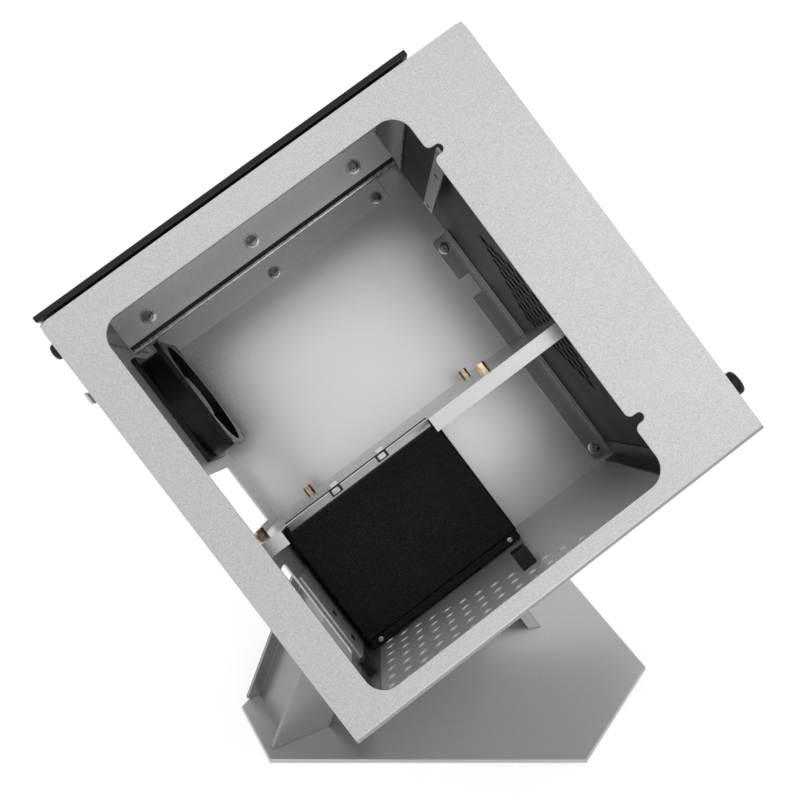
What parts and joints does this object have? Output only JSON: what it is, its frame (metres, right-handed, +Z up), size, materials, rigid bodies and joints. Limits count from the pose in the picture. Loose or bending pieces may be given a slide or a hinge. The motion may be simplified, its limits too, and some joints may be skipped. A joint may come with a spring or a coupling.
{
  "type": "computer case",
  "caption": "Cube-shaped computer case tilted onto a corner above a flat cut-corner base, with an open front, board tray, fan, power supply and glass side panel.",
  "frame": {"origin": "on the ground under the middle of the base plate", "axes": "+Z up, +Y away from the viewer of the open front, +X to the right"},
  "size_m": [0.4018, 0.4465, 0.4694],
  "materials": {
    "blasted_sheet": "bead-blasted satin",
    "inner_metal": "smooth satin",
    "stand_metal": "smooth metallic satin",
    "black_metal": "fine-textured powder coat",
    "black_plastic": "moulded",
    "brass": "turned",
    "screws": "turned",
    "dark_screws": "blackened",
    "dark_glass": "dark tinted, polished",
    "rubber": "plain"
  },
  "bodies": {
    "case": {"front_shell": "blasted_sheet", "top_wall": "blasted_sheet", "right_cover": "blasted_sheet", "back_wall": "blasted_sheet", "rear_wall": "inner_metal", "vent_wall": "inner_metal", "board_tray": "inner_metal", "top_rail": "inner_metal", "right_rail": "inner_metal", "corner_strips": "inner_metal", "hanger_strip": "inner_metal", "rear_hook": "inner_metal", "cross_rail": "inner_metal", "base_plate": "stand_metal", "left_leg": "stand_metal", "back_leg": "stand_metal", "supply_cover": "black_metal", "supply_chassis": "black_metal", "fan_frame": "black_plastic", "support_blocks": "black_plastic", "button_guide": "black_plastic", "rear_knob": "black_plastic", "corner_channel": "black_plastic", "standoffs": "brass", "rail_screws": "screws", "leg_bolts": "screws", "fan_screws": "dark_screws", "glass_panel": "dark_glass", "glass_pads": "rubber", "base_pads": "rubber", "corner_seat": "rubber"},
    "impeller": {"fan_impeller": "black_plastic"},
    "button": {"power_button": "black_plastic"}
  },
  "joints": [
    {"name": "fan_spin", "type": "hinge", "parent": "case", "child": "impeller", "pos_m": [-0.17094, 0.0222, 0.20833], "axis": [0.7943, 0.4268, 0.4322], "continuous": true},
    {"name": "button_press", "type": "slide", "parent": "case", "child": "button", "axis": [-0.7943, -0.4268, -0.4322], "range_m": [0, 0.002], "stiffness_N_per_m": 300, "springref_m": -0.002}
  ]
}
